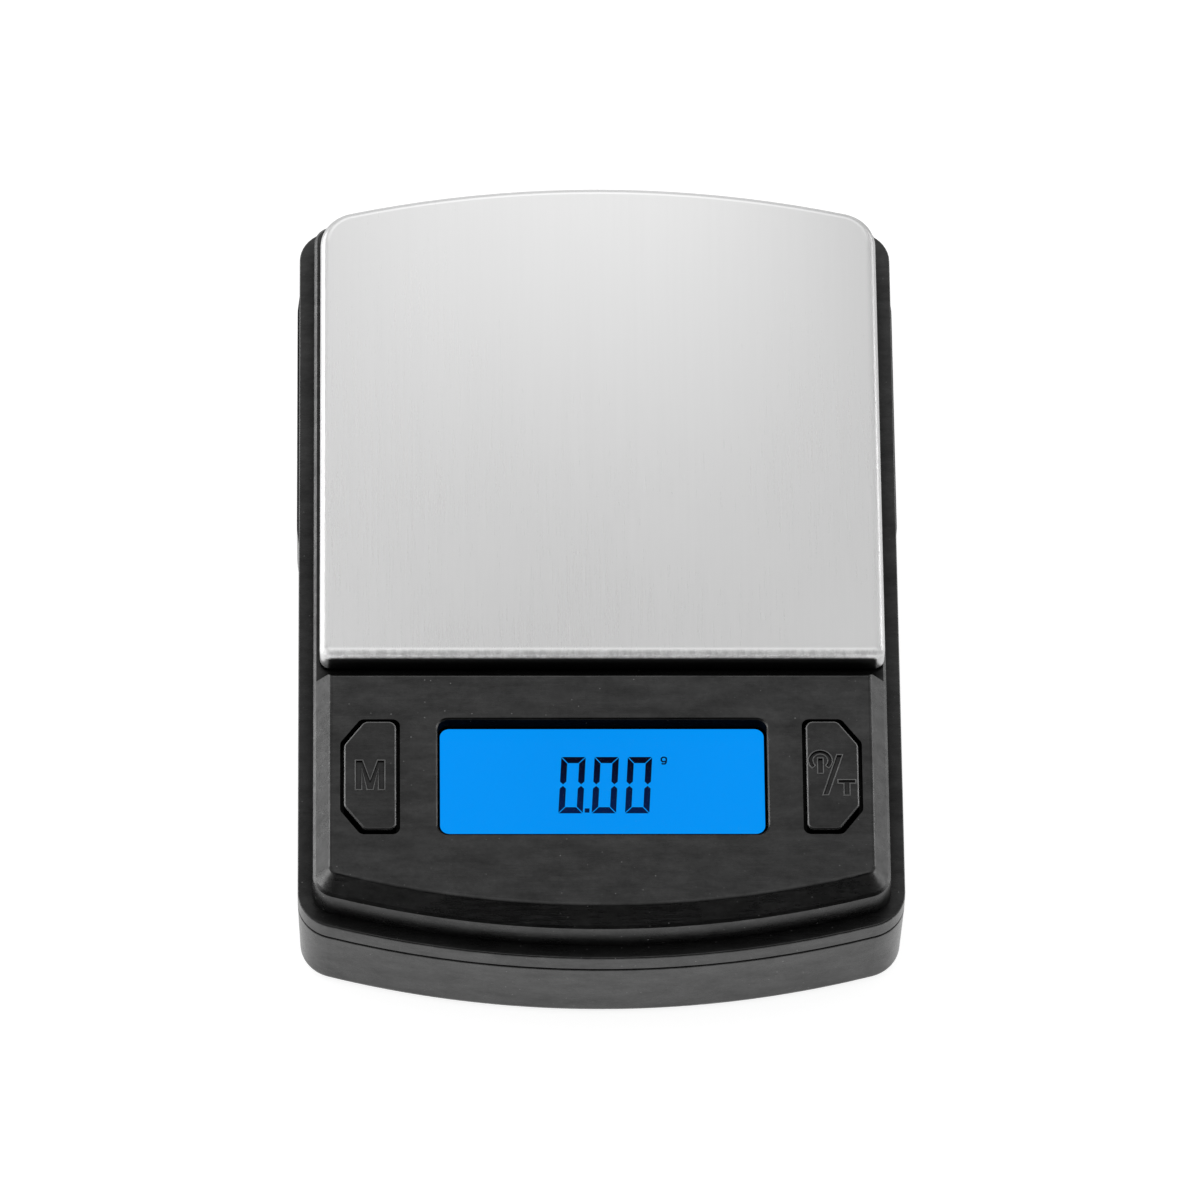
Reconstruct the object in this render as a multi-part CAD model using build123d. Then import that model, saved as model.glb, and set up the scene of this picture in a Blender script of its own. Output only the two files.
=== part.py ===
from build123d import *

import math
import os

# Digital pocket scale. Millimetres, +Z up, +Y to the back, +X to the user's right.
# The origin is on the table, under the centre of the casing.

# Casing plan: straight sides, bowed ends, rounded corners.
casing_width = 78.0
casing_length = 115.0
front_end_radius = 130.0
back_end_radius = 142.0
front_corner_radius = 5.2
back_corner_radius = 4.5
smallest_corner = 0.6

# Casing levels, counted up from the table.
foot_proud = 0.6
floor_thickness = 1.8
seam_low = 11.95
seam_gap = 0.4
rim_top = 15.0
deck_top = 19.5
panel_top = 21.7

# Casing walls.
wall = 2.1
casing_draft = 0.3
bottom_round = 1.0
lip_inset = 1.05
lip_height = 1.3
lip_gap = 0.05
rim_round = 0.25
seam_round = 0.2
deck_inset_low = 1.85
deck_inset_high = 2.0
deck_chamfer = 0.35
bevel_inset = 4.2
deck_cavity_inset = 3.6
panel_cavity_inset = 4.2
deck_thickness = 1.6
panel_thickness = 1.5
panel_back = -18.9
panel_round = 0.6
flange_gap = 0.2
post_gap = 0.15
screw_blind = 1.0

# Grip swellings on the sides of the lower casing.
grip_front = 6.8
grip_back = 45.8
grip_proud = 0.28
grip_ramp = 2.6
grip_ease = 10.0
grip_low = 3.0
grip_high = 10.9
grip_root = 0.5

# Display opening and the stack under it.
display_x = 0.15
display_y = -34.35
display_width = 42.4
display_depth = 17.1
display_corner = 1.4
display_recess = 2.0
opening_round = 0.2
frame_wall = 1.2
window_thickness = 0.5
window_overlap = 1.1
window_gap = 0.1
glass_width = 46.4
glass_front = -45.4
glass_back = -24.6
glass_thickness = 2.2
glass_ledge = 2.0
holder_wall = 0.9
holder_gap = 0.1
strip_width = 1.8
strip_inset = 0.2
lamp_length = 1.5
lamp_width = 4.4
lamp_height = 2.0
guide_bevel = 0.3

# Keys.
key_x = 29.7
key_y = -34.4
key_hole_width = 7.7
key_hole_depth = 17.1
key_chamfer_x = 2.6
key_chamfer_y = 3.5
key_corner = 1.0
key_gap = 0.5
key_proud = 0.4
key_round = 0.3
key_flange = 0.8
key_flange_thickness = 1.0
key_flange_drop = 0.1
stem_radius = 1.5
stem_gap = 0.05
legend_depth = 0.18

# Circuit board.
board_top = 13.8
board_thickness = 1.2
board_inset = 4.4
board_back = -20.9
board_screw_x = 28.5
board_screw_back = -22.9
board_screw_front = -47.0
board_boss_radius = 2.0
board_screw_radius = 0.95
board_screw_head = (1.9, 1.3)
board_screw_length = 5.0

# Parts soldered under the board: places and half sizes.
controller_place = (-8.0, -36.0)
controller_half = (5.0, 5.0)
converter_place = (14.0, -27.0)
converter_half = (5.0, 2.0)
chip_height = 1.7
chip_legs = 8
leg_half = 0.2
leg_reach = 0.6
leg_drop = 0.3
controller_pitch = 1.1
converter_pitch = 1.27
crystal_left = 1.0
crystal_length = 7.0
crystal_y = -46.0
crystal_radius = 1.5
crystal_collar = 0.8
capacitor_places = [(-20, -30), (-20, -33), (-20, -36), (4, -30), (22, -36), (22, -39)]
capacitor_half = (1.0, 0.6)
capacitor_height = 0.9

# Key switches.
switch_side = 6.0
switch_height = 3.5
plunger_radius = 1.6
plunger_low = 16.0
plunger_high = 18.55
bore_clearance = 0.1
switch_corner = 0.5
plunger_edge = 0.2
bore_deeper = 0.6

# Weighing tray.
tray_half_width = 36.5
tray_front = -17.25
tray_back = 54.8
tray_end_radius = 140.0
tray_front_corner = 1.5
tray_back_corner = 5.0
tray_top = 23.5
tray_height = 3.5
tray_sheet = 0.6
tray_bend = 1.25
# The tape lets the tray sit a little off centre, to the right.
tray_offset = 0.3

# Carrier under the tray, and its pillar.
carrier_inset = 1.4
carrier_top = 22.7
carrier_thickness = 1.8
pillar_length = 11.0
pillar_width = 11.0
pillar_clearance = 1.0
tape_inner = 10.0
tape_outer = 32.0
tape_places = (-7.0, 43.5)
tape_half_width = 6.0
carrier_screw_head = (2.6, 2.0)
carrier_screw_seat = 2.4
carrier_screw_length = 12.0
carrier_counterbore = 2.75

# Load cell: a beam across the casing, fixed at its left end.
beam_y = (tray_front + tray_back) / 2
beam_half_length = 30.0
beam_width = 12.0
beam_low = 5.2
beam_height = 7.0
beam_hole_x = 8.0
beam_hole_radius = 2.6
beam_slot_height = 2.0
beam_screw_near = 21.7
beam_screw_far = 27.3
beam_screw_radius = 1.5
beam_screw_hole = 1.55
beam_boss_length = 11.0
beam_screw_head = (2.6, 1.8)
beam_screw_length = 8.0
beam_screw_seat = 3.2
beam_counterbore = 2.9
gauge_half = (2.5, 4.0)
gauge_thickness = 0.15
stop_x = 24.5
stop_gap = 0.45
stop_post_gap = 1.2
stop_low = 1.0
stop_slot = (4.0, 0.5, 0.8)
thread_hair = 0.03

# Two AAA cells across the back, and their bay.
cell_radius = 5.25
cell_length = 44.5
cell_nub = 1.0
cell_nub_radius = 1.9
cell_front_y = 34.0
cell_back_y = 46.2
cell_z = 7.75
bay_half_length = 25.6
bay_front = 28.2
bay_back = 52.0
bay_roof = 13.3
bay_roof_thickness = 1.2
bay_side_wall = 2.8
bay_end_wall = 1.2
bay_overlap = 1.0
bay_roof_inset = 3.9
contact_thickness = 0.4
contact_half_width = 4.0
contact_low = 4.0
contact_high = 12.0
tab_z = 10.4
tab_half_width = 1.0
tab_half_thickness = 0.2
tab_gap = 0.2
tab_beyond = 1.4
cell_round = 0.5
spring_radius = 3.0
spring_wire = 0.3
spring_pitch = 1.3

# Battery door.
door_half_width = 26.0
door_front = 28.05
door_top = 2.25
door_lip = 1.2
door_lip_low = 1.55
door_gap = 0.15
door_lip_gap = 0.05
ridge_count = 5
ridge_front = 44.0
ridge_pitch = 1.8
ridge_width = 0.8
ridge_half_length = 9.0
ridge_depth = 0.3

# Casing screws and feet.
screw_x = 33.0
screw_front = -14.0
screw_back = 31.0
post_radius = 3.0
post_top = 9.0
boss_radius = 2.8
casing_screw_radius = 1.25
casing_screw_hole = 1.28
casing_head_radius = 2.4
casing_head_seat = 4.8
counterbore_radius = 2.7
casing_head_height = 1.8
casing_screw_length = 10.0
post_clearance = 0.2
foot_x = 32.0
foot_y = 45.0
foot_radius = 3.5
foot_pocket = 0.6
foot_gap = 0.05
foot_round = 0.4

# Screws, as shares of the head and shank.
head_round_share = 0.35
tip_share = 0.3
cross_reach_share = 0.62
cross_width_share = 0.16
cross_depth_share = 0.6

# Leads.
lead_bend = 1.5
signal_lead_radius = 0.35
signal_lead_pitch = 1.3
power_lead_radius = 0.45
power_lead_rise = 0.7
lead_past_beam = 1.6

hair = 0.02
far = 90.0

half_width = casing_width / 2
half_length = casing_length / 2
floor_top = foot_proud + floor_thickness
seam_high = seam_low + seam_gap
panel_under = panel_top - panel_thickness
deck_under = deck_top - deck_thickness
recess_floor = panel_top - display_recess
window_low = recess_floor - window_thickness
glass_high = window_low - window_gap
glass_low = glass_high - glass_thickness
board_low = board_top - board_thickness
carrier_low = carrier_top - carrier_thickness
beam_high = beam_low + beam_height
pillar_x = (beam_screw_near + beam_screw_far) / 2
contact_face = bay_half_length - contact_thickness - 0.05
beam_front = beam_y - beam_width / 2
beam_back = beam_y + beam_width / 2


def sagitta(radius, half_chord):
    """Height of an arc over its chord."""
    return radius - math.sqrt(radius**2 - half_chord**2)


def bowed_end(half_chord, apex, radius, towards_back):
    """Arc across one end of a plan outline, through its apex."""
    shoulder = apex - towards_back * sagitta(radius, half_chord)
    right = (half_chord * towards_back, shoulder)
    left = (-half_chord * towards_back, shoulder)
    return ThreePointArc(right, (0, apex), left)


def casing_outline(inset):
    """Plan outline of the casing, set in evenly from its widest line."""
    chord = half_width - inset
    apex = half_length - inset
    back = bowed_end(chord, apex, back_end_radius - inset, 1)
    front = bowed_end(chord, -apex, front_end_radius - inset, -1)
    left = Line(back @ 1, front @ 0)
    right = Line(front @ 1, back @ 0)
    face = make_face(Curve() + [back, left, front, right])
    corners = face.vertices().sort_by(Axis.Y)
    face = fillet(corners[:2], max(front_corner_radius - inset, smallest_corner))
    corners = face.vertices().sort_by(Axis.Y)
    return fillet(corners[-2:], max(back_corner_radius - inset, smallest_corner))


def tray_outline(inset):
    """Plan outline of the tray: straight front, bowed back."""
    chord = tray_half_width - inset
    back = bowed_end(chord, tray_back - inset, tray_end_radius - inset, 1)
    left = Line(back @ 1, (-chord, tray_front + inset))
    front = Line((-chord, tray_front + inset), (chord, tray_front + inset))
    right = Line((chord, tray_front + inset), back @ 0)
    face = make_face(Curve() + [back, left, front, right])
    corners = face.vertices().sort_by(Axis.Y)
    face = fillet(corners[:2], max(tray_front_corner - inset, smallest_corner))
    corners = face.vertices().sort_by(Axis.Y)
    return fillet(corners[-2:], tray_back_corner - inset)


def raise_from(face, low, high):
    """Straight extrusion of a plan face between two levels."""
    return extrude(Pos(0, 0, low) * face, high - low)


def taper_between(low_inset, low, high_inset, high):
    """Casing outline that changes its inset evenly from one level to another."""
    lower = Pos(0, 0, low) * casing_outline(low_inset)
    upper = Pos(0, 0, high) * casing_outline(high_inset)
    return loft([lower, upper], ruled=True)


def block(x0, x1, y0, y1, z0, z1):
    """Box given by its faces."""
    size = Box(abs(x1 - x0), abs(y1 - y0), abs(z1 - z0))
    return Pos((x0 + x1) / 2, (y0 + y1) / 2, (z0 + z1) / 2) * size


def rod(x, y, z0, z1, radius):
    """Upright cylinder given by its axis and ends."""
    return Pos(x, y, (z0 + z1) / 2) * Cylinder(radius, z1 - z0)


def cross_rod(x0, x1, y, z, radius):
    """Cylinder along X."""
    return Pos((x0 + x1) / 2, y, z) * Rot(0, 90, 0) * Cylinder(radius, x1 - x0)


def screw(head_radius, head_height, shank_radius, shank_length):
    """Screw with its head below Z = 0 and its shank up, with a cross recess."""
    head = rod(0, 0, -head_height, 0, head_radius)
    head = fillet(head.edges().group_by(Axis.Z)[0], head_height * head_round_share)
    shank = rod(0, 0, 0, shank_length, shank_radius)
    shank = chamfer(shank.edges().group_by(Axis.Z)[-1], shank_radius * tip_share)
    arm = head_radius * cross_reach_share
    slot = head_radius * cross_width_share
    depth = head_height * cross_depth_share
    cross = block(-arm, arm, -slot, slot, -head_height, depth - head_height)
    cross += block(-slot, slot, -arm, arm, -head_height, depth - head_height)
    return head + shank - cross


def four_corners(x, y_front, y_back):
    """Left and right places at a front and a back line."""
    return [(side * x, y) for side in (-1, 1) for y in (y_front, y_back)]


def group(solids):
    """Separate solids that share one node."""
    return Compound(children=solids)


def casing_tub():
    """Outer form of the lower casing, drafted, with a rounded bottom edge."""
    tub = taper_between(casing_draft, foot_proud, 0, seam_low)
    tub = fillet(tub.edges().group_by(Axis.Z)[-1], seam_round)
    return fillet(tub.edges().group_by(Axis.Z)[0], bottom_round)


def side_grip(side):
    """Shallow flat swelling on one side of the lower casing, easing in at both ends."""
    root = half_width - grip_root
    crown = half_width + grip_proud
    rise = [(root, grip_front), (half_width, grip_front), (crown, grip_front + grip_ramp)]
    fall = [(crown, grip_back - grip_ramp), (half_width, grip_back), (root, grip_back)]
    face = make_face(Polyline(*rise, *fall, close=True))
    shoulders = face.vertices().sort_by(Axis.X)[-2:]
    pad = raise_from(fillet(shoulders, grip_ease), grip_low, grip_high)
    return pad if side > 0 else mirror(pad, about=Plane.YZ)


def battery_bay():
    """Open-bottomed bay for the cells, before its inside is cut."""
    reach = bay_half_length + bay_side_wall
    front = bay_front - bay_end_wall
    back = bay_back + bay_overlap
    walls = block(-reach, reach, front, back, floor_top, bay_roof)
    roof = block(-reach, reach, front, back, bay_roof, bay_roof + bay_roof_thickness)
    return walls + (roof & raise_from(casing_outline(bay_roof_inset), bay_roof, deck_under))


def door_slot():
    """Space in the floor that the door and its side lips run in."""
    reach = door_half_width + door_gap
    lips = reach + door_lip
    low = block(-reach, reach, door_front - door_gap, far, 0, door_lip_low)
    high = block(-lips, lips, door_front - door_gap, far, door_lip_low - door_lip_gap, floor_top)
    return low + high


def beam_supports():
    """Boss under the beam's fixed end and post for the stop under its free end."""
    fixed_end = -beam_half_length
    boss = block(
        fixed_end, fixed_end + beam_boss_length, beam_front, beam_back, floor_top, beam_low
    )
    return boss + rod(stop_x, beam_y, floor_top, beam_low - stop_post_gap, 2 * beam_screw_radius)


def terminal_slots():
    """Slots in the bay's left wall for the terminals' tabs."""
    half_width_y = tab_half_width + tab_gap
    half_height = tab_half_thickness + tab_gap
    slots = [
        block(
            -bay_half_length - bay_side_wall, -bay_half_length,
            y - half_width_y, y + half_width_y, tab_z - half_height, tab_z + half_height
        )
        for y in (cell_front_y, cell_back_y)
    ]
    return slots


def lower_casing():
    body = casing_tub() + side_grip(1) + side_grip(-1)
    body -= raise_from(casing_outline(wall), floor_top, seam_low)
    lip = raise_from(casing_outline(lip_inset), seam_low - seam_round, seam_low + lip_height)
    body += lip - raise_from(casing_outline(wall), floor_top, seam_low + lip_height)
    body += battery_bay() + beam_supports()
    for x, y in four_corners(screw_x, screw_front, screw_back):
        body += rod(x, y, floor_top, post_top, post_radius)
    body -= block(-bay_half_length, bay_half_length, bay_front, bay_back, 0, bay_roof)
    body -= door_slot()
    for slot in terminal_slots():
        body -= slot
    for x, y in four_corners(screw_x, screw_front, screw_back):
        body -= rod(x, y, 0, post_top, casing_screw_radius + post_clearance)
        body -= rod(x, y, 0, casing_head_seat, counterbore_radius)
    for x, y in four_corners(foot_x, -foot_y, foot_y):
        body -= rod(x, y, 0, foot_proud + foot_pocket, foot_radius + foot_gap)
    for x in (-beam_screw_far, -beam_screw_near):
        body -= rod(x, beam_y, 0, beam_low, beam_screw_hole)
        body -= rod(x, beam_y, 0, beam_screw_seat, beam_counterbore)
    body -= rod(stop_x, beam_y, 0, beam_low, beam_screw_radius + thread_hair)
    return body


def key_outline(grow):
    """Left key's plan: outer corners cut off, inner corners rounded, about its own centre."""
    x = key_hole_width / 2 + grow
    y = key_hole_depth / 2 + grow
    points = [
        (x, y),
        (key_chamfer_x - x, y),
        (-x, y - key_chamfer_y),
        (-x, key_chamfer_y - y),
        (key_chamfer_x - x, -y),
        (x, -y),
    ]
    face = make_face(Polyline(*points, close=True))
    return fillet(face.vertices(), key_corner)


def key_place(side):
    """Moves a left-hand key shape to its place, mirrored for the right-hand one."""
    turn = Rot(0, 0, 0) if side < 0 else Rot(0, 0, 180)
    return Pos(side * key_x, key_y, 0) * turn


def display_block(grow, low, high, corner):
    """Rounded rectangular block centred on the display opening."""
    face = RectangleRounded(display_width + 2 * grow, display_depth + 2 * grow, corner)
    return Pos(display_x, display_y, 0) * raise_from(face, low, high)


def panel_zone(gap):
    """Everything in front of the panel's back wall, set in by a gap."""
    return block(-far, far, -far, panel_back - gap, 0, far)


def openings():
    """Display opening, eased where it meets the panel's top, and the plain key holes."""
    display = display_block(0, recess_floor, panel_top, display_corner)
    grown_corner = display_corner + opening_round
    ease = display_block(opening_round, panel_top - opening_round, panel_top, grown_corner)
    ease = chamfer(ease.edges().group_by(Axis.Z)[0], opening_round - hair)
    cuts = [display + ease]
    for side in (-1, 1):
        cuts.append(key_place(side) * raise_from(key_outline(0), panel_under, panel_top))
    return cuts


def upper_casing():
    rim = raise_from(casing_outline(0), seam_high, rim_top)
    rim = fillet(rim.edges().group_by(Axis.Z)[-1], rim_round)
    deck_edge = deck_top - deck_chamfer
    top_inset = deck_inset_high + deck_chamfer
    deck = taper_between(deck_inset_low, rim_top, deck_inset_high, deck_edge)
    deck += taper_between(deck_inset_high, deck_edge, top_inset, deck_top)
    panel = taper_between(top_inset, deck_top, bevel_inset, panel_top) & panel_zone(0)
    panel = fillet(panel.edges().group_by(Axis.Z)[-1], panel_round)
    body = rim + deck + panel
    flange_under = seam_low + lip_height + flange_gap
    body -= raise_from(casing_outline(lip_inset - lip_gap), seam_high, flange_under)
    body -= raise_from(casing_outline(deck_cavity_inset), flange_under, deck_under)
    cavity = taper_between(deck_cavity_inset, deck_under, panel_cavity_inset, panel_under)
    body -= cavity & panel_zone(panel_thickness)
    body += display_block(frame_wall, recess_floor, panel_under, display_corner + frame_wall)
    for opening in openings():
        body -= opening
    reach = pillar_length / 2 + pillar_clearance
    body -= block(
        pillar_x - reach, pillar_x + reach, beam_y - reach, beam_y + reach, deck_under, deck_top
    )
    for x, y in four_corners(screw_x, screw_front, screw_back):
        body += rod(x, y, post_top + post_gap, deck_under, boss_radius)
        body -= rod(x, y, post_top, deck_under - screw_blind, casing_screw_hole)
    for x, y in four_corners(board_screw_x, board_screw_front, board_screw_back):
        body += rod(x, y, board_top, panel_under, board_boss_radius)
        body -= rod(x, y, board_top, panel_under - screw_blind, board_screw_radius + thread_hair)
    return body


def battery_door():
    lips = door_half_width + door_lip
    plate = block(-door_half_width, door_half_width, door_front, far, 0, door_top)
    plate += block(-lips, lips, door_front, far, door_lip_low, door_top)
    door = casing_tub() & plate
    for row in range(ridge_count):
        y = ridge_front + ridge_pitch * row
        high = foot_proud + ridge_depth
        door -= block(-ridge_half_length, ridge_half_length, y, y + ridge_width, 0, high)
    return door


def display_window():
    return display_block(window_overlap, window_low, recess_floor, display_corner + window_overlap)


def lcd_glass():
    """Two bonded panes; the lower one is longer, so its front ledge carries the contacts."""
    middle = (glass_low + glass_high) / 2
    side = glass_width / 2
    lower = block(-side, side, glass_front, glass_back, glass_low, middle)
    upper = block(-side, side, glass_front + glass_ledge, glass_back, middle, glass_high)
    return lower + upper


def lcd_holder():
    x = glass_width / 2 + holder_gap
    y0 = glass_front - holder_gap
    y1 = glass_back + holder_gap
    t = holder_wall
    outer = block(-x - t, x + t, y0 - t, y1 + t, board_top, glass_high)
    return outer - block(-x, x, y0, y1, board_top, glass_high)


def backlight_panel():
    x = display_width / 2 - holder_gap
    front = glass_front + strip_inset + strip_width + strip_inset
    panel = block(-x, x, front, glass_back - holder_gap, board_top, glass_low)
    return chamfer(panel.edges().group_by(Axis.Z)[-1].sort_by(Axis.X)[0], guide_bevel)


def backlight_leds():
    near = display_width / 2 + holder_gap
    y0 = display_y - lamp_width / 2
    y1 = display_y + lamp_width / 2
    high = board_top + lamp_height
    far_end = near + lamp_length
    return group([block(s * near, s * far_end, y0, y1, board_top, high) for s in (-1, 1)])


def elastomer_connector():
    front = glass_front + strip_inset
    return block(-display_width / 2, display_width / 2, front, front + strip_width, board_top, glass_low)


def circuit_board():
    board = raise_from(casing_outline(board_inset), board_low, board_top)
    board &= block(-far, far, -far, board_back, 0, far)
    for x, y in four_corners(board_screw_x, board_screw_front, board_screw_back):
        board -= rod(x, y, board_low, board_top, board_screw_radius + post_gap)
    return board


def circuit_board_screws():
    template = screw(*board_screw_head, board_screw_radius, board_screw_length)
    places = four_corners(board_screw_x, board_screw_front, board_screw_back)
    return group([Pos(x, y, board_low) * template for x, y in places])


def chip(place, half, pitch):
    """Moulded chip under the board, with a row of legs on its two long sides."""
    x, y = place
    half_x, half_y = half
    body = block(
        x - half_x, x + half_x, y - half_y, y + half_y, board_low - chip_height, board_low - hair
    )
    start = x - (chip_legs - 1) * pitch / 2
    leg_high = board_low - chip_height / 2
    leg_low = leg_high - leg_half
    for n in range(chip_legs):
        left = start + n * pitch - leg_half
        right = left + 2 * leg_half
        for side in (-1, 1):
            root = y + side * (half_y - leg_half)
            knee = y + side * (half_y + leg_reach)
            body += block(left, right, root, knee, leg_low, leg_high)
            body += block(left, right, knee, knee + side * leg_drop, leg_low, board_low)
    return body


def controller_chip():
    return chip(controller_place, controller_half, controller_pitch)


def converter_chip():
    return chip(converter_place, converter_half, converter_pitch)


def crystal():
    """Small drawn can lying under the board, with a collar at its left end."""
    z = board_low - crystal_radius - 2 * hair
    can = cross_rod(crystal_left, crystal_left + crystal_length, crystal_y, z, crystal_radius)
    return can + cross_rod(crystal_left - crystal_collar, crystal_left, crystal_y, z, crystal_radius / 3)


def board_capacitors():
    half_x, half_y = capacitor_half
    low = board_low - capacitor_height
    return group(
        [block(x - half_x, x + half_x, y - half_y, y + half_y, low, board_low) for x, y in capacitor_places]
    )


def mode_legend():
    """Letter M, about the key's centre."""
    right = [(0, -0.8), (0.95, 2.2), (1.9, 2.2), (1.9, -2.2), (1.05, -2.2), (1.05, 0.95), (0.4, -2.2)]
    left = [(-x, y) for x, y in reversed(right[1:])]
    return make_face(Polyline(*right, *left, close=True))


def power_tare_legend():
    """Power sign at the upper left, a long stroke, and a letter T at the lower right."""
    ring = Circle(1.55) - Circle(0.95)
    mouth = make_face(Polyline((0, 0), (-2.2, -2.4), (2.2, -2.4), close=True))
    power = Pos(-1.55, 2.1) * (ring - mouth + Pos(0, -0.75) * Rectangle(0.75, 2.3))
    stroke = make_face(Polyline((-1.33, -3), (-0.56, -3), (1.33, 3), (0.56, 3), close=True))
    tare = Pos(1.8, -1.0) * Rectangle(2.3, 0.55) + Pos(1.8, -1.9) * Rectangle(0.78, 2.3)
    return power + stroke + tare


def key(side, legend):
    """Key cap with a sunk legend, a flange that keeps it under the panel, and a stem for its switch."""
    flange_high = panel_under - key_flange_drop
    flange_low = flange_high - key_flange_thickness
    cap = raise_from(key_outline(-key_gap), flange_high, panel_top + key_proud)
    cap = fillet(cap.edges().group_by(Axis.Z)[-1], key_round)
    flange = raise_from(key_outline(key_flange), flange_low, flange_high)
    stem = rod(0, 0, plunger_high + stem_gap, flange_low, stem_radius)
    top = panel_top + key_proud
    sunk = Pos(side * key_x, key_y, 0) * raise_from(legend, top - legend_depth, top)
    return key_place(side) * (cap + flange + stem) - sunk


def mode_button():
    return key(-1, mode_legend())


def power_tare_button():
    return key(1, power_tare_legend())


def switch_body(side):
    x = side * key_x
    half = switch_side / 2
    top = board_top + switch_height
    body = block(x - half, x + half, key_y - half, key_y + half, board_top, top)
    body = chamfer(body.edges().filter_by(Axis.Z), switch_corner)
    return body - rod(x, key_y, plunger_low - bore_deeper, top, plunger_radius + bore_clearance)


def switch_plunger(side):
    pin = rod(side * key_x, key_y, plunger_low, plunger_high, plunger_radius)
    return chamfer(pin.edges().group_by(Axis.Z)[-1], plunger_edge)


def weighing_tray():
    """Pressed sheet: flat top, rounded bend and a turned-down skirt all round."""
    low = tray_top - tray_height
    outer = raise_from(tray_outline(0), low, tray_top)
    outer = fillet(outer.edges().group_by(Axis.Z)[-1], tray_bend)
    inner = raise_from(tray_outline(tray_sheet), low, tray_top - tray_sheet)
    inner = fillet(inner.edges().group_by(Axis.Z)[-1], tray_bend - tray_sheet)
    return Pos(tray_offset, 0, 0) * (outer - inner)


def tray_adhesive_pads():
    under = tray_top - tray_sheet
    pads = []
    half = tape_half_width
    for side in (-1, 1):
        for y in tape_places:
            pads.append(block(side * tape_inner, side * tape_outer, y - half, y + half, carrier_top, under))
    return group(pads)


def tray_carrier():
    plate = raise_from(tray_outline(carrier_inset), carrier_low, carrier_top)
    half_x = pillar_length / 2
    half_y = pillar_width / 2
    pillar = block(
        pillar_x - half_x, pillar_x + half_x, beam_y - half_y, beam_y + half_y, beam_high, carrier_low
    )
    carrier = plate + pillar
    for x in (beam_screw_near, beam_screw_far):
        carrier -= rod(x, beam_y, beam_high, carrier_top, beam_screw_hole)
        carrier -= rod(x, beam_y, carrier_top - carrier_screw_seat, carrier_top, carrier_counterbore)
    return carrier


def carrier_screws():
    template = Rot(180, 0, 0) * screw(*carrier_screw_head, beam_screw_radius, carrier_screw_length)
    seat = carrier_top - carrier_screw_seat
    return group([Pos(x, beam_y, seat) * template for x in (beam_screw_near, beam_screw_far)])


def load_cell():
    middle = (beam_low + beam_high) / 2
    beam = block(-beam_half_length, beam_half_length, beam_front, beam_back, beam_low, beam_high)
    for x in (-beam_hole_x, beam_hole_x):
        beam -= Pos(x, beam_y, middle) * Rot(90, 0, 0) * Cylinder(beam_hole_radius, beam_width)
    slot = beam_slot_height / 2
    beam -= block(-beam_hole_x, beam_hole_x, beam_front, beam_back, middle - slot, middle + slot)
    for x in (beam_screw_near, beam_screw_far):
        for side in (-1, 1):
            beam -= rod(side * x, beam_y, beam_low, beam_high, beam_screw_hole)
    return beam


def strain_gauges():
    pads = []
    half_x, half_y = gauge_half
    for x in (-beam_hole_x, beam_hole_x):
        for low in (beam_low - gauge_thickness, beam_high):
            high = low + gauge_thickness
            pads.append(block(x - half_x, x + half_x, beam_y - half_y, beam_y + half_y, low, high))
    return group(pads)


def load_cell_screws():
    template = screw(*beam_screw_head, beam_screw_radius, beam_screw_length)
    return group([Pos(-x, beam_y, beam_screw_seat) * template for x in (beam_screw_near, beam_screw_far)])


def overload_stop_screw():
    length, width, depth = stop_slot
    stop = rod(stop_x, beam_y, stop_low, beam_low - stop_gap, beam_screw_radius)
    return stop - Pos(stop_x, beam_y, stop_low + depth / 2) * Box(length, width, depth)


def lead(points, radius):
    """Insulated wire with rounded bends."""
    path = FilletPolyline(*points, radius=lead_bend)
    return sweep(Plane(path @ 0, z_dir=path % 0) * Circle(radius), path=path)


def load_cell_leads():
    wires = []
    for n in range(4):
        x = signal_lead_pitch * (n - 1.5)
        start = (2 * x, beam_y - 3, beam_high + gauge_thickness + signal_lead_radius + hair)
        points = [start, (x, 8, 13.6), (x, -10, 14.4), (x, -19, 14.6), (x, -22.6, 14.25)]
        wires.append(lead(points, signal_lead_radius))
    return group(wires)


def aaa_cell(y, nub_side):
    """AAA cell across the casing, its positive end towards one side."""
    nub_end = nub_side * (contact_face - hair)
    shoulder = nub_end - nub_side * cell_nub
    flat_end = nub_end - nub_side * cell_length
    can = cross_rod(min(shoulder, flat_end), max(shoulder, flat_end), y, cell_z, cell_radius)
    can = fillet(can.edges(), cell_round)
    return can + cross_rod(min(shoulder, nub_end), max(shoulder, nub_end), y, cell_z, cell_nub_radius)


def battery_front():
    return aaa_cell(cell_front_y, -1)


def battery_rear():
    return aaa_cell(cell_back_y, 1)


def battery_springs():
    """Coils that press on the flat end of each cell."""
    length = 2 * contact_face - cell_length - 2 * hair - 2 * spring_wire - 4 * hair
    coils = []
    for y, side in ((cell_front_y, 1), (cell_back_y, -1)):
        helix = Helix(spring_pitch, length, spring_radius, cone_angle=0)
        coil = sweep(Plane(helix @ 0, z_dir=helix % 0) * Circle(spring_wire), path=helix, is_frenet=True)
        start = side * (contact_face - spring_wire - 2 * hair)
        coils.append(Pos(start, y, cell_z) * Rot(0, -90 * side, 0) * coil)
    return group(coils)


def battery_terminal(y):
    """Contact plate at the left end of the bay, with a tab through the wall."""
    outer = -contact_face - contact_thickness
    front = y - contact_half_width
    plate = block(outer, -contact_face, front, y + contact_half_width, contact_low, contact_high)
    tab_end = -bay_half_length - bay_side_wall - tab_beyond
    front = y - tab_half_width
    back = y + tab_half_width
    return plate + block(
        tab_end, -contact_face, front, back, tab_z - tab_half_thickness, tab_z + tab_half_thickness
    )


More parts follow.
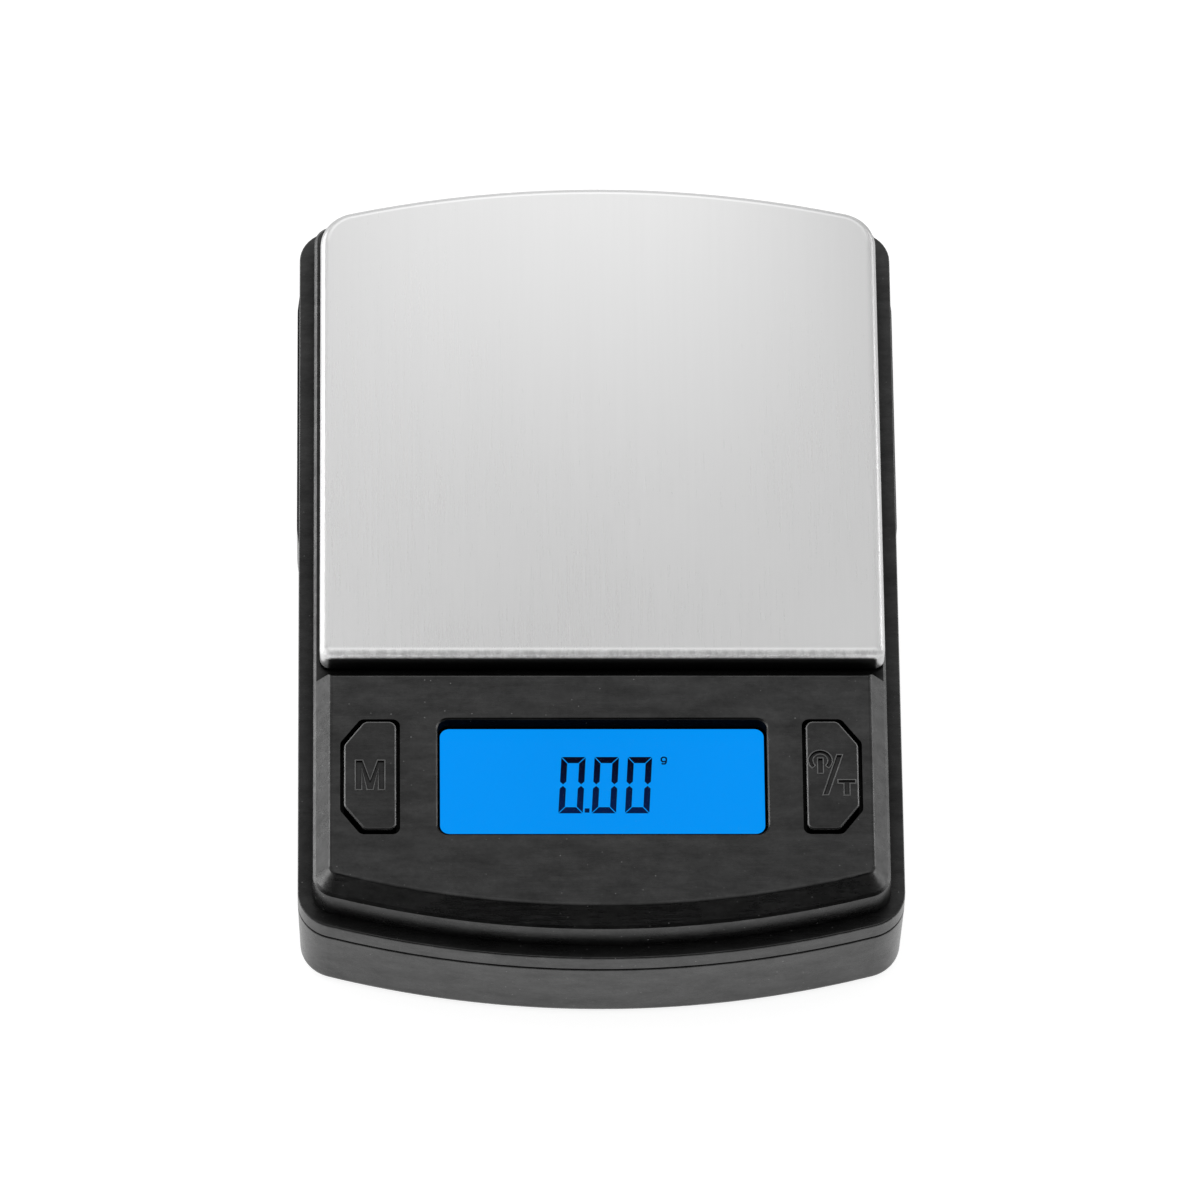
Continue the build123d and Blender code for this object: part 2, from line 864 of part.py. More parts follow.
def battery_link_plate():
    outer = contact_face + contact_thickness
    front = cell_front_y - contact_half_width
    back = cell_back_y + contact_half_width
    return block(contact_face, outer, front, back, contact_low, contact_high)


def battery_lead(y, lift, end_x):
    """Wire from a terminal tab, past the beam's fixed end, to the board."""
    x = -bay_half_length - bay_side_wall - tab_beyond + power_lead_radius
    around = -beam_half_length - lead_past_beam
    tab_top = tab_z + power_lead_rise
    z = tab_top + lift
    end_z = board_top + power_lead_radius + 0.1
    points = [
        (x, y, tab_top),
        (x, y - 3, z),
        (x, bay_front - bay_end_wall - 0.2, z),
        (around, beam_back + 0.5, z),
        (around, beam_front - 0.5, z),
        (end_x - 3, -2, z + 1),
        (end_x, -16, end_z + 0.15),
        (end_x, board_back - 1.3, end_z),
    ]
    return lead(points, power_lead_radius)


def casing_screws():
    template = screw(casing_head_radius, casing_head_height, casing_screw_radius, casing_screw_length)
    places = four_corners(screw_x, screw_front, screw_back)
    return group([Pos(x, y, casing_head_seat) * template for x, y in places])


def rubber_feet():
    foot = rod(0, 0, 0, foot_proud + foot_pocket - hair, foot_radius)
    foot = fillet(foot.edges().group_by(Axis.Z)[0], foot_round)
    return group([Pos(x, y, 0) * foot for x, y in four_corners(foot_x, -foot_y, foot_y)])


nodes = {
    "lower_casing": lower_casing(),
    "upper_casing": upper_casing(),
    "battery_door": battery_door(),
    "display_window": display_window(),
    "lcd_glass": lcd_glass(),
    "lcd_holder": lcd_holder(),
    "backlight_panel": backlight_panel(),
    "backlight_leds": backlight_leds(),
    "elastomer_connector": elastomer_connector(),
    "circuit_board": circuit_board(),
    "circuit_board_screws": circuit_board_screws(),
    "controller_chip": controller_chip(),
    "converter_chip": converter_chip(),
    "crystal": crystal(),
    "board_capacitors": board_capacitors(),
    "mode_button": mode_button(),
    "power_tare_button": power_tare_button(),
    "mode_switch_body": switch_body(-1),
    "power_switch_body": switch_body(1),
    "mode_switch_plunger": switch_plunger(-1),
    "power_switch_plunger": switch_plunger(1),
    "weighing_tray": weighing_tray(),
    "tray_adhesive_pads": tray_adhesive_pads(),
    "tray_carrier": tray_carrier(),
    "carrier_screws": carrier_screws(),
    "load_cell": load_cell(),
    "strain_gauges": strain_gauges(),
    "load_cell_screws": load_cell_screws(),
    "overload_stop_screw": overload_stop_screw(),
    "load_cell_leads": load_cell_leads(),
    "battery_front": battery_front(),
    "battery_rear": battery_rear(),
    "battery_springs": battery_springs(),
    "battery_terminal_positive": battery_terminal(cell_front_y),
    "battery_terminal_negative": battery_terminal(cell_back_y),
    "battery_link_plate": battery_link_plate(),
    "battery_lead_positive": battery_lead(cell_front_y, 0.5, -24.5),
    "battery_lead_negative": battery_lead(cell_back_y, 1.8, -21.5),
    "casing_screws": casing_screws(),
    "rubber_feet": rubber_feet(),
}

os.makedirs("parts", exist_ok=True)
for name, shape in nodes.items():
    export_step(shape, f"parts/{name}.step")
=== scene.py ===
import math

import bmesh
import bpy
from mathutils import Matrix, Vector


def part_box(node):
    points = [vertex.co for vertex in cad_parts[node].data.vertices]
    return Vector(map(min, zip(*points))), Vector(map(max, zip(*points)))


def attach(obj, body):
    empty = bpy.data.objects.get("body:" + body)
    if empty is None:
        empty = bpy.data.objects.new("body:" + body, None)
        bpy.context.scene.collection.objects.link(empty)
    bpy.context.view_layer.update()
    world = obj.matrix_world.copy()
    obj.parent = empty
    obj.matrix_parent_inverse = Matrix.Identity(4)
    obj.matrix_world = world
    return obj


# Looks of the pocket scale: finishes for the CAD nodes, the display's printed and lit
# pieces, and a soft studio round them. Lengths are in metres; MM turns millimetres into them.
MM = 0.001

# Camera: where it aims, from which side and how far.
VIEW_SIDE = math.radians(2.0)
VIEW_DOWN = math.radians(58.87)
VIEW_ROLL = math.radians(1.705)
VIEW_DISTANCE = 1.656
VIEW_AIM = Vector((0.00027, -0.00207, 0.012))
LENS = 381.06
SENSOR = 36.0

# Figures on the display, in millimetres from the middle of its glass.
FIGURE_HEIGHT = 8.37
FIGURE_WIDTH = 3.14
FIGURE_PITCH = 4.28
FIGURE_LEFT = -5.69
FIGURE_BASE = -4.01
FIGURE_SLANT = 0.055
STROKE_ACROSS = 0.9
STROKE_DOWN = 0.81
MITRE_GAP = 0.09
WAIST_GAP = 0.12
POINT_SIDE = 0.62
POINT_AFTER_FIGURE = 0.24
POINT_UP = 0.1
SIGN_HEIGHT = 1.1
SIGN_WIDTH = 0.76
SIGN_LEFT = 7.55
SIGN_STROKE = 0.19
FILM_THICKNESS = 0.03
FILM_LIFT = 0.01

# Black border printed under the display window, in millimetres.
BORDER_OUTER = (22.2, 9.6)
BORDER_OUTER_RADIUS = 1.3
BORDER_INNER = (20.87, 7.8)
BORDER_INNER_RADIUS = 1.2
BORDER_INNER_BACK = 0.7
BORDER_LIFT = 0.045

# Share of the display's light that falls on its surroundings.
DISPLAY_SPILL = 0.04

# Bead along the rim of each sunk legend, its light grey a painted highlight, in millimetres.
LEGEND_DEPTH = 0.18
BEAD_RADIUS = 0.09
BEAD_SIDES = 8

# Studio: strengths of the lights in the surroundings, and the sizes of what stands round the scale.
FLOOR_GLOW = 0.87
FLOOR_REACH = 3.0
WORLD_LEVEL = 1.0
SIDE_LEVEL = 6.0
MIDWAY_SHARE = 0.6
RIGHT_BOX = 1.08
FRONT_LEVEL = 2.5
CARD_HEIGHT = 0.45
CARD_HALF_WIDTH = 0.6
CARD_FRONT = -0.1
CARD_BACK = 1.0
KEY_LIGHT_PLACE = (-0.5, 0.3, 0.9)
KEY_LIGHT_SIZE = 0.8
KEY_LIGHT_POWER = 1.2


# ---------------------------------------------------------------- node trees


class Finish:
    """One material's node tree, with short ways to add and join nodes."""

    def __init__(self, name, world=None):
        if world is None:
            self.owner = bpy.data.materials.new(name)
        else:
            self.owner = world
        self.owner.use_nodes = True
        self.tree = self.owner.node_tree
        self.tree.nodes.clear()
        kind = "ShaderNodeOutputMaterial" if world is None else "ShaderNodeOutputWorld"
        self.output = self.tree.nodes.new(kind)
        self.place = None

    @classmethod
    def reopen(cls, material):
        """Takes up a finished material's tree again, to add to it."""
        made = cls.__new__(cls)
        made.owner = material
        made.tree = material.node_tree
        made.place = None
        return made

    def cover(self, key, factor, value):
        """Blends a value over what already feeds an input of the surface."""
        shader = next(n for n in self.tree.nodes if n.type == "BSDF_PRINCIPLED")
        under = shader.inputs[key].links[0].from_socket
        self.feed(shader, key, self.blend(factor, under, value))

    def node(self, kind, inputs=None, **settings):
        made = self.tree.nodes.new("ShaderNode" + kind)
        for key, value in settings.items():
            setattr(made, key, value)
        for key, value in (inputs or {}).items():
            self.feed(made, key, value)
        return made

    def feed(self, node, key, value):
        """Joins a socket to an input, or sets the input's own value."""
        if isinstance(value, bpy.types.NodeSocket):
            self.tree.links.new(value, node.inputs[key])
        else:
            node.inputs[key].default_value = value

    def where(self):
        """Position in the object's own metres."""
        if self.place is None:
            self.place = self.node("TexCoord").outputs["Object"]
        return self.place

    def stretched(self, scale):
        return self.node("Mapping", {"Vector": self.where(), "Scale": scale}).outputs[0]

    def noise(self, scale, detail=3.0, rough=0.5, vector=None, warp=0.0):
        inputs = {
            "Vector": vector if vector is not None else self.where(),
            "Scale": scale,
            "Detail": detail,
            "Roughness": rough,
            "Distortion": warp,
        }
        return self.node("TexNoise", inputs).outputs["Fac"]

    def cells(self, scale):
        return self.node("TexVoronoi", {"Vector": self.where(), "Scale": scale})

    def maths(self, operation, a, b=0.0):
        made = self.node("Math", operation=operation)
        self.feed(made, 0, a)
        self.feed(made, 1, b)
        return made.outputs[0]

    def spread(self, value, low, high, to_low, to_high, smooth=False):
        made = self.node("MapRange", interpolation_type="SMOOTHSTEP" if smooth else "LINEAR")
        for key, given in zip(range(5), (value, low, high, to_low, to_high)):
            self.feed(made, key, given)
        return made.outputs[0]

    def blend(self, factor, a, b, mode="MIX"):
        made = self.node("Mix", data_type="RGBA", blend_type=mode)
        self.feed(made, 0, factor)
        self.feed(made, 6, a)
        self.feed(made, 7, b)
        return made.outputs[2]

    def ramp(self, value, stops, constant=False):
        made = self.node("ValToRGB", {"Fac": value})
        ramp = made.color_ramp
        ramp.interpolation = "CONSTANT" if constant else "LINEAR"
        while len(ramp.elements) < len(stops):
            ramp.elements.new(1.0)
        for element, (place, colour) in zip(ramp.elements, stops):
            element.position = place
            element.color = colour
        return made.outputs["Color"]

    def bump(self, height, depth, strength=1.0, under=None):
        inputs = {"Height": height, "Distance": depth, "Strength": strength}
        if under is not None:
            inputs["Normal"] = under
        return self.node("Bump", inputs).outputs[0]

    def edge_mask(self, radius, sharp=0.05):
        """1 on edges and 0 on open faces, from how far a rounded normal turns."""
        rounded = self.node("Bevel", {"Radius": radius}, samples=6).outputs[0]
        plain = self.node("NewGeometry").outputs["Normal"]
        dot = self.node("VectorMath", operation="DOT_PRODUCT")
        self.feed(dot, 0, rounded)
        self.feed(dot, 1, plain)
        return self.spread(dot.outputs["Value"], 1.0, 1.0 - sharp, 0.0, 1.0, True)

    def openness(self, reach, shut, clear, least=0.0):
        """Rises from least in gaps and corners to 1 on open faces, looking as far as reach."""
        made = self.node("AmbientOcclusion", {"Distance": reach}, samples=8)
        return self.spread(made.outputs["AO"], shut, clear, least, 1.0)

    def facing(self, axis, low, high, to_low=0.0, to_high=1.0):
        """How far the surface's own normal turns along one axis, eased between two values."""
        normal = self.node("NewGeometry").outputs["Normal"]
        part = self.node("SeparateXYZ", {0: normal}).outputs[axis]
        return self.spread(part, low, high, to_low, to_high, True)

    def surface(self, **inputs):
        """Principled surface; keys are its socket names with underscores for spaces."""
        made = self.node("BsdfPrincipled")
        for key, value in inputs.items():
            self.feed(made, key.replace("_", " "), value)
        self.tree.links.new(made.outputs[0], self.output.inputs["Surface"])
        return self.owner


def grey(level, alpha=1.0):
    return (level, level, level, alpha)


# ---------------------------------------------------------------- finishes


def moulded_plastic(name, tone=0.0018, roughness=0.28, grain=1.0, dust=1.0, wear=0.5, shine=1.06):
    """Black moulded plastic: spark texture, smudges, hairlines, dust, rubbed edges, painted shade in
    gaps and corners, and a sheen painted weaker towards the bottom.
    """
    f = Finish(name)
    # open_share is 1 on open faces and falls in gaps and corners; it carries the painted shade below.
    open_share = f.openness(4.0 * MM, 0.12, 0.92, 0.02)
    mottle = f.noise(110.0, 4.0, 0.6)
    fine = f.noise(4200.0, 2.0, 0.6)
    hair = f.noise(2600.0, 2.0, 0.7, f.stretched((0.08, 1.0, 1.0)))
    smudge = f.noise(420.0, 4.0, 0.65, f.stretched((0.4, 1.0, 1.0)))
    edge = f.edge_mask(0.3 * MM, 0.12)
    rubbed = f.maths("MULTIPLY", edge, f.spread(f.noise(900.0, 3.0), 0.42, 0.62, 0.0, wear))
    speck = f.cells(1150.0)
    small = f.spread(speck.outputs["Distance"], 0.04, 0.15, 1.0, 0.0, True)
    lot = f.node("SeparateColor", {0: speck.outputs["Color"]}).outputs[0]
    chosen = f.maths("GREATER_THAN", lot, 0.72)
    drift = f.spread(f.noise(70.0, 2.0), 0.42, 0.6, 0.2, 1.0)
    dusty = f.maths("MULTIPLY", f.maths("MULTIPLY", small, chosen), f.maths("MULTIPLY", drift, dust))
    body = f.blend(mottle, grey(tone * 0.7), grey(tone * 1.4))
    body = f.blend(f.spread(hair, 0.62, 0.78, 0.0, 0.6 * dust), body, grey(tone * 7.0))
    body = f.blend(rubbed, body, grey(tone * 10.0))
    body = f.blend(dusty, body, grey(0.16))
    # Painted shade: the colour goes to black in gaps and corners.
    body = f.blend(open_share, grey(0.0), body)
    gloss = f.spread(mottle, 0.3, 0.7, roughness - 0.04, roughness + 0.04)
    gloss = f.maths("ADD", gloss, f.spread(hair, 0.35, 0.7, -0.02, 0.05))
    level = f.spread(f.noise(1500.0, 3.0, 0.7), 0.3, 0.7, 0.44 * shine, 0.56 * shine)
    level = f.maths("MULTIPLY", level, f.spread(smudge, 0.3, 0.7, 0.74, 1.26))
    # Painted shade: the sheen is weaker in gaps and corners.
    level = f.maths("MULTIPLY", level, open_share)
    # Painted shade: the sheen is weaker towards the bottom of the walls.
    height = f.node("SeparateXYZ", {0: f.where()}).outputs[2]
    level = f.maths("MULTIPLY", level, f.spread(height, 0.0, 9.0 * MM, 0.74, 1.0))
    soft = f.bump(f.noise(300.0, 2.0), 0.008 * MM * grain, 0.6)
    normal = f.bump(fine, 0.007 * MM * grain, 0.5, soft)
    return f.surface(Base_Color=body, Roughness=gloss, IOR=1.5, Specular_IOR_Level=level, Normal=normal)


def key_plastic(name, top):
    """The casing's black plastic on a key, a little duller, with a painted highlight on its rounded
    rim.
    """
    material = moulded_plastic(name, 0.0018, 0.27, 0.7, 0.6, 0.0, 0.9)
    f = Finish.reopen(material)
    z = f.node("SeparateXYZ", {0: f.where()}).outputs[2]
    # Painted highlight: a light band on the key's rounded rim, left out on its front side.
    rim = f.maths("MULTIPLY", f.facing(2, 0.985, 0.9), f.facing(2, 0.1, 0.35))
    rim = f.maths("MULTIPLY", rim, f.facing(1, -0.45, -0.15))
    rim = f.maths("MULTIPLY", rim, f.spread(z, top - 0.5 * MM, top - 0.35 * MM, 0.0, 1.0))
    rim = f.maths("MULTIPLY", rim, f.spread(f.noise(700.0, 3.0), 0.3, 0.6, 0.65, 1.0))
    f.cover("Base Color", rim, grey(0.16))
    return material


def brushed_steel(name, middle, tone=0.756, roughness=0.3, stretch=0.75):
    """Stainless sheet brushed front to back, its bent-down edges given painted shade by which way they
    face.

    Painted light: the sheen falls off towards both sides, more on the right and at the back. The front
    bend is softer and painted whiter than the flat, a painted highlight; the wall under it is painted
    nearly black, a painted reflection of the dark gap before it.
    """
    f = Finish(name)
    fine_scale = (1.0, 0.018, 1.0)
    lines = f.noise(9000.0, 3.0, 0.65, f.stretched(fine_scale))
    streaks = f.noise(1500.0, 2.0, 0.6, f.stretched(fine_scale))
    haze = f.noise(28.0, 3.0, 0.5)
    edge = f.edge_mask(0.3 * MM, 0.15)
    fold = f.maths("MULTIPLY", f.facing(1, -0.2, -0.5), f.facing(2, -0.02, 0.12))
    body = f.blend(lines, grey(tone * 0.983), grey(tone * 1.017))
    body = f.blend(f.spread(streaks, 0.35, 0.7, 0.0, 0.22), body, grey(tone * 0.95))
    fold_streaks = f.maths("MULTIPLY", fold, f.spread(streaks, 0.38, 0.62, 0.0, 1.0))
    body = f.blend(fold_streaks, body, grey(tone * 0.76))
    # Painted highlight: the edges are a little lighter.
    body = f.blend(f.maths("MULTIPLY", edge, 0.5), body, grey(min(1.0, tone * 1.15)))
    x, y, _ = f.node("SeparateXYZ", {0: f.where()}).outputs
    # Painted light: the colour falls off from the middle towards both sides, more on the right and more
    # towards the back.
    back = f.spread(y, middle.y - 33.0 * MM, middle.y + 33.0 * MM, 0.0, 1.0)
    out = f.maths("DIVIDE", f.maths("SUBTRACT", x, middle.x), 35.0 * MM)
    fall_left = f.spread(back, 0.0, 1.0, -0.08, 0.12)
    fall_right = f.spread(back, 0.0, 1.0, -0.01, 0.23)
    fall = f.spread(out, -0.6, 0.6, fall_left, fall_right)
    sheen = f.maths("SUBTRACT", 1.0, f.maths("MULTIPLY", f.maths("MULTIPLY", out, out), fall))
    # Painted shade: darker in gaps and under things, and on faces turned left, right or back.
    sheen = f.maths("MULTIPLY", sheen, f.openness(2.5 * MM, 0.25, 0.7, 0.04))
    sheen = f.maths("MULTIPLY", sheen, f.facing(0, -0.15, -0.6, 1.0, 0.88))
    sheen = f.maths("MULTIPLY", sheen, f.facing(0, 0.3, 0.65, 1.0, 0.68))
    sheen = f.maths("MULTIPLY", sheen, f.facing(1, 0.05, 0.45, 1.0, 0.72))
    # Painted highlight: the front bend is lighter.
    sheen = f.maths("MULTIPLY", sheen, f.spread(fold, 0.0, 1.0, 1.0, 1.34))
    # Painted reflection: the wall under the front bend is nearly black, standing for the dark gap
    # before it.
    sheen = f.maths("MULTIPLY", sheen, f.facing(1, -0.935, -0.997, 1.0, 0.08))
    metal = f.spread(fold, 0.0, 1.0, 0.8, 0.3)
    shade = f.node("CombineColor", {0: sheen, 1: sheen, 2: sheen}).outputs[0]
    body = f.blend(1.0, body, shade, "MULTIPLY")
    gloss = f.spread(lines, 0.3, 0.7, roughness - 0.03, roughness + 0.03)
    gloss = f.maths("ADD", gloss, f.spread(haze, 0.3, 0.7, -0.02, 0.02))
    gloss = f.maths("ADD", gloss, f.maths("MULTIPLY", fold, 0.17))
    normal = f.bump(lines, 0.0006 * MM, 0.35)
    axis = f.node("CombineXYZ", {"X": 1.0, "Y": 0.0, "Z": 0.0}).outputs[0]
    return f.surface(
        Base_Color=body,
        Metallic=metal,
        Roughness=gloss,
        Anisotropic=stretch,
        Tangent=axis,
        Normal=normal,
    )


def plain_metal(name, colour, roughness, scratch=1.0):
    """Plated or machined metal with a fine grain, slight tarnish and bright edges."""
    f = Finish(name)
    grain = f.noise(2600.0, 4.0, 0.6)
    stain = f.noise(160.0, 3.0, 0.55, warp=0.4)
    edge = f.edge_mask(0.15 * MM, 0.2)
    dull = tuple(c * 0.72 for c in colour[:3]) + (1.0,)
    bright = tuple(min(1.0, c * 1.12) for c in colour[:3]) + (1.0,)
    body = f.blend(f.spread(stain, 0.35, 0.65, 0.0, 1.0), dull, colour)
    body = f.blend(f.maths("MULTIPLY", edge, 0.7), body, bright)
    gloss = f.spread(grain, 0.3, 0.7, roughness * 0.75, roughness * 1.25)
    normal = f.bump(grain, 0.004 * MM * scratch, 0.4)
    return f.surface(Base_Color=body, Metallic=1.0, Roughness=gloss, Normal=normal)


def soft_rubber(name, tone=0.012):
    """Matt rubber with a fine open grain and grey dust in it."""
    f = Finish(name)
    grain = f.noise(3400.0, 4.0, 0.7)
    dust = f.spread(f.noise(420.0, 3.0, 0.6), 0.5, 0.75, 0.0, 0.6)
    body = f.blend(dust, grey(tone), grey(tone * 4.0))
    gloss = f.spread(grain, 0.3, 0.7, 0.62, 0.85)
    normal = f.bump(grain, 0.02 * MM, 0.5)
    return f.surface(Base_Color=body, Roughness=gloss, IOR=1.5, Normal=normal)


def hard_plastic(name, colour, roughness=0.4):
    """Light or coloured engineering plastic with a slight mottle."""
    f = Finish(name)
    mottle = f.noise(300.0, 3.0, 0.5)
    grain = f.noise(3000.0, 2.0, 0.6)
    shade = tuple(c * 0.8 for c in colour[:3]) + (1.0,)
    body = f.blend(mottle, shade, colour)
    gloss = f.spread(grain, 0.3, 0.7, roughness - 0.06, roughness + 0.06)
    normal = f.bump(grain, 0.004 * MM, 0.4)
    return f.surface(Base_Color=body, Roughness=gloss, IOR=1.5, Normal=normal)


def clear_window(name):
    """Thin polished window: lets the display through, with a faint sheen and a few hairlines."""
    f = Finish(name)
    hair = f.noise(2400.0, 2.0, 0.6, f.stretched((1.0, 0.05, 1.0)))
    gloss = f.spread(hair, 0.45, 0.8, 0.02, 0.12)
    sheen = f.node("BsdfGlossy", {"Color": grey(1.0), "Roughness": gloss})
    through = f.node("BsdfTransparent", {"Color": (0.985, 0.99, 0.995, 1.0)})
    facing = f.node("Fresnel", {"IOR": 1.04}).outputs[0]
    mixed = f.node("MixShader", {0: facing, 1: through.outputs[0], 2: sheen.outputs[0]})
    f.tree.links.new(mixed.outputs[0], f.output.inputs["Surface"])
    return f.owner


def lit_display(name, middle):
    """Display glass lit blue from behind: even, a little stronger towards its lamps at both ends."""
    f = Finish(name)
    x = f.node("SeparateXYZ", {0: f.where()}).outputs[0]
    out = f.maths("ABSOLUTE", f.maths("SUBTRACT", x, middle.x))
    ends = f.spread(out, 0.0, 21.0 * MM, 0.985, 1.015, True)
    cloud = f.spread(f.noise(60.0, 2.0), 0.3, 0.7, 0.99, 1.01)
    film = f.spread(f.noise(2500.0, 2.0), 0.2, 0.8, 0.992, 1.008)
    level = f.maths("MULTIPLY", f.maths("MULTIPLY", ends, cloud), film)
    seen = f.node("LightPath").outputs["Is Camera Ray"]
    level = f.maths("MULTIPLY", level, f.spread(seen, 0.0, 1.0, DISPLAY_SPILL, 1.0))
    return f.surface(
        Base_Color=(0.0005, 0.002, 0.006, 1.0),
        Roughness=0.25,
        IOR=1.05,
        Emission_Color=(0.0016, 0.293, 0.909, 1.0),
        Emission_Strength=level,
    )


def figure_ink(name, low, high):
    """Dark crystal of the lit-out figures, a little bluer at their feet."""
    f = Finish(name)
    y = f.node("SeparateXYZ", {0: f.where()}).outputs[1]
    up = f.spread(y, low, high, 0.0, 1.0, True)
    grain = f.spread(f.noise(5000.0, 2.0), 0.3, 0.7, 0.85, 1.15)
    glow = f.blend(up, (0.0, 0.0097, 0.0612, 1.0), (0.0, 0.0004, 0.009, 1.0))
    return f.surface(
        Base_Color=(0.0005, 0.0008, 0.002, 1.0),
        Roughness=0.4,
        IOR=1.1,
        Emission_Color=glow,
        Emission_Strength=grain,
    )


def circuit_green(name):
    """Green solder mask over a faint weave, with tinned tracks showing through."""
    f = Finish(name)
    weave = f.noise(1400.0, 2.0, 0.5)
    tracks = f.cells(260.0)
    track = f.spread(tracks.outputs["Distance"], 0.42, 0.46, 0.0, 1.0)
    body = f.blend(weave, (0.004, 0.055, 0.018, 1.0), (0.008, 0.09, 0.03, 1.0))
    body = f.blend(f.maths("MULTIPLY", track, 0.55), body, (0.02, 0.17, 0.06, 1.0))
    normal = f.bump(track, 0.02 * MM, 0.5)
    return f.surface(Base_Color=body, Roughness=0.28, IOR=1.5, Normal=normal)


def cell_jacket(name, low, high, plus_side):
    """Printed jacket of a dry cell: a coloured collar at its positive end, bare metal at both ends."""
    f = Finish(name)
    x = f.node("SeparateXYZ", {0: f.where()}).outputs[0]
    along = f.spread(x, low, high, 0.0, 1.0)
    if plus_side > 0:
        along = f.maths("SUBTRACT", 1.0, along)
    steel = (0.66, 0.65, 0.62, 1.0)
    collar = (0.62, 0.30, 0.04, 1.0)
    jacket = (0.016, 0.020, 0.028, 1.0)
    bands = (0.0, 0.04, 0.30, 0.97)
    colour = f.ramp(along, list(zip(bands, (steel, collar, jacket, steel))), True)
    metal = f.ramp(along, list(zip(bands, map(grey, (1.0, 0.35, 0.0, 1.0)))), True)
    rub = f.noise(700.0, 3.0, 0.6, f.stretched((0.2, 1.0, 1.0)))
    body = f.blend(f.spread(rub, 0.55, 0.75, 0.0, 0.25), colour, grey(0.3))
    gloss = f.spread(rub, 0.3, 0.7, 0.18, 0.34)
    normal = f.bump(rub, 0.004 * MM, 0.3)
    return f.surface(Base_Color=body, Metallic=metal, Roughness=gloss, Normal=normal)


def foam_tape(name):
    """White foam tape, its open cells showing."""
    f = Finish(name)
    cells = f.cells(2600.0).outputs["Distance"]
    tone = f.spread(cells, 0.0, 0.6, 0.55, 0.8)
    body = f.blend(tone, (0.5, 0.5, 0.47, 1.0), (0.86, 0.86, 0.82, 1.0))
    return f.surface(Base_Color=body, Roughness=0.85, Normal=f.bump(cells, 0.05 * MM, 0.7))


def striped_rubber(name):
    """Contact strip: thin dark and light layers side by side along its length."""
    f = Finish(name)
    x = f.node("SeparateXYZ", {0: f.where()}).outputs[0]
    wave = f.maths("SINE", f.maths("MULTIPLY", x, math.tau / (0.5 * MM)))
    body = f.blend(f.spread(wave, -0.2, 0.2, 0.0, 1.0), grey(0.02), (0.62, 0.58, 0.52, 1.0))
    grain = f.noise(4000.0)
    return f.surface(Base_Color=body, Roughness=0.6, Normal=f.bump(grain, 0.01 * MM, 0.4))


def leads_by_place(name, pitch):
    """Four insulated leads in one node, each with its own colour across the bundle."""
    f = Finish(name)
    x = f.node("SeparateXYZ", {0: f.where()}).outputs[0]
    across = f.spread(x, -2 * pitch, 2 * pitch, 0.0, 1.0)
    stops = [
        (0.0, (0.5, 0.02, 0.015, 1.0)),
        (0.25, grey(0.012)),
        (0.5, (0.02, 0.2, 0.06, 1.0)),
        (0.75, grey(0.7)),
    ]
    colour = f.ramp(across, stops, True)
    mottle = f.noise(900.0)
    body = f.blend(f.maths("MULTIPLY", mottle, 0.3), colour, grey(0.2))
    return f.surface(Base_Color=body, Roughness=0.35, IOR=1.5, Normal=f.bump(mottle, 0.01 * MM, 0.3))


def floor_paper(name):
    """Pale seamless paper, lit from below as well, and clear when looked at from underneath."""
    f = Finish(name)
    fibre = f.noise(900.0, 4.0, 0.6)
    tone = f.spread(fibre, 0.3, 0.7, 0.44, 0.46)
    colour = f.node("CombineColor", {0: tone, 1: tone, 2: tone}).outputs[0]
    matt = f.node("BsdfDiffuse", {"Color": colour, "Roughness": 0.6})
    glow = f.node("Emission", {"Color": grey(1.0), "Strength": FLOOR_GLOW})
    paper = f.node("AddShader", {0: matt.outputs[0], 1: glow.outputs[0]})
    below = f.node("NewGeometry").outputs["Backfacing"]
    seen = f.node("LightPath").outputs["Is Camera Ray"]
    clear = f.node("BsdfTransparent")
    hidden = f.maths("MULTIPLY", below, seen)
    mixed = f.node("MixShader", {0: hidden, 1: paper.outputs[0], 2: clear.outputs[0]})
    f.tree.links.new(mixed.outputs[0], f.output.inputs["Surface"])
    return f.owner


# ---------------------------------------------------------------- display pieces


def object_from(work, name, material):
    """Turns finished mesh work into an object of the scene, with one material."""
    mesh = bpy.data.meshes.new(name)
    work.to_mesh(mesh)
    work.free()
    mesh.materials.append(material)
    made = bpy.data.objects.new(name, mesh)
    bpy.context.scene.collection.objects.link(made)
    return made


def film(name, outlines, low, thickness, material):
    """Thin closed sheet in the shape of one or more plan outlines, fixed to the casing."""
    work = bmesh.new()
    for outline in outlines:
        bottom = [work.verts.new((x, y, low)) for x, y in outline]
        top = [work.verts.new((x, y, low + thickness)) for x, y in outline]
        work.faces.new(list(reversed(bottom)))
        work.faces.new(top)
        count = len(outline)
        for n in range(count):
            m = (n + 1) % count
            work.faces.new((bottom[n], bottom[m], top[m], top[n]))
    bmesh.ops.recalc_face_normals(work, faces=work.faces[:])
    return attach(object_from(work, name, material), "casing")


def figure_strokes():
    """Six outer strokes of a seven-part zero, in millimetres, its lower left corner at the origin."""
    w = FIGURE_WIDTH
    h = FIGURE_HEIGHT
    a = STROKE_ACROSS
    d = STROKE_DOWN
    g = MITRE_GAP
    waist = h / 2 - WAIST_GAP
    shoulder = waist - d / 2
    foot = [(g, 0), (w - g, 0), (w - d - g, a), (d + g, a)]
    leg = [(0, g), (d, a + g), (d, shoulder), (d / 2, waist), (0, shoulder)]
    strokes = [foot, leg, [(w - x, y) for x, y in reversed(leg)]]
    strokes += [[(x, h - y) for x, y in reversed(stroke)] for stroke in strokes]
    return strokes


def slanted(outline, left, base, middle):
    """Outline in millimetres from the glass's middle, leaned over and turned into metres."""
    return [
        (middle.x + (left + x + FIGURE_SLANT * y) * MM, middle.y + (base + y) * MM)
        for x, y in outline
    ]


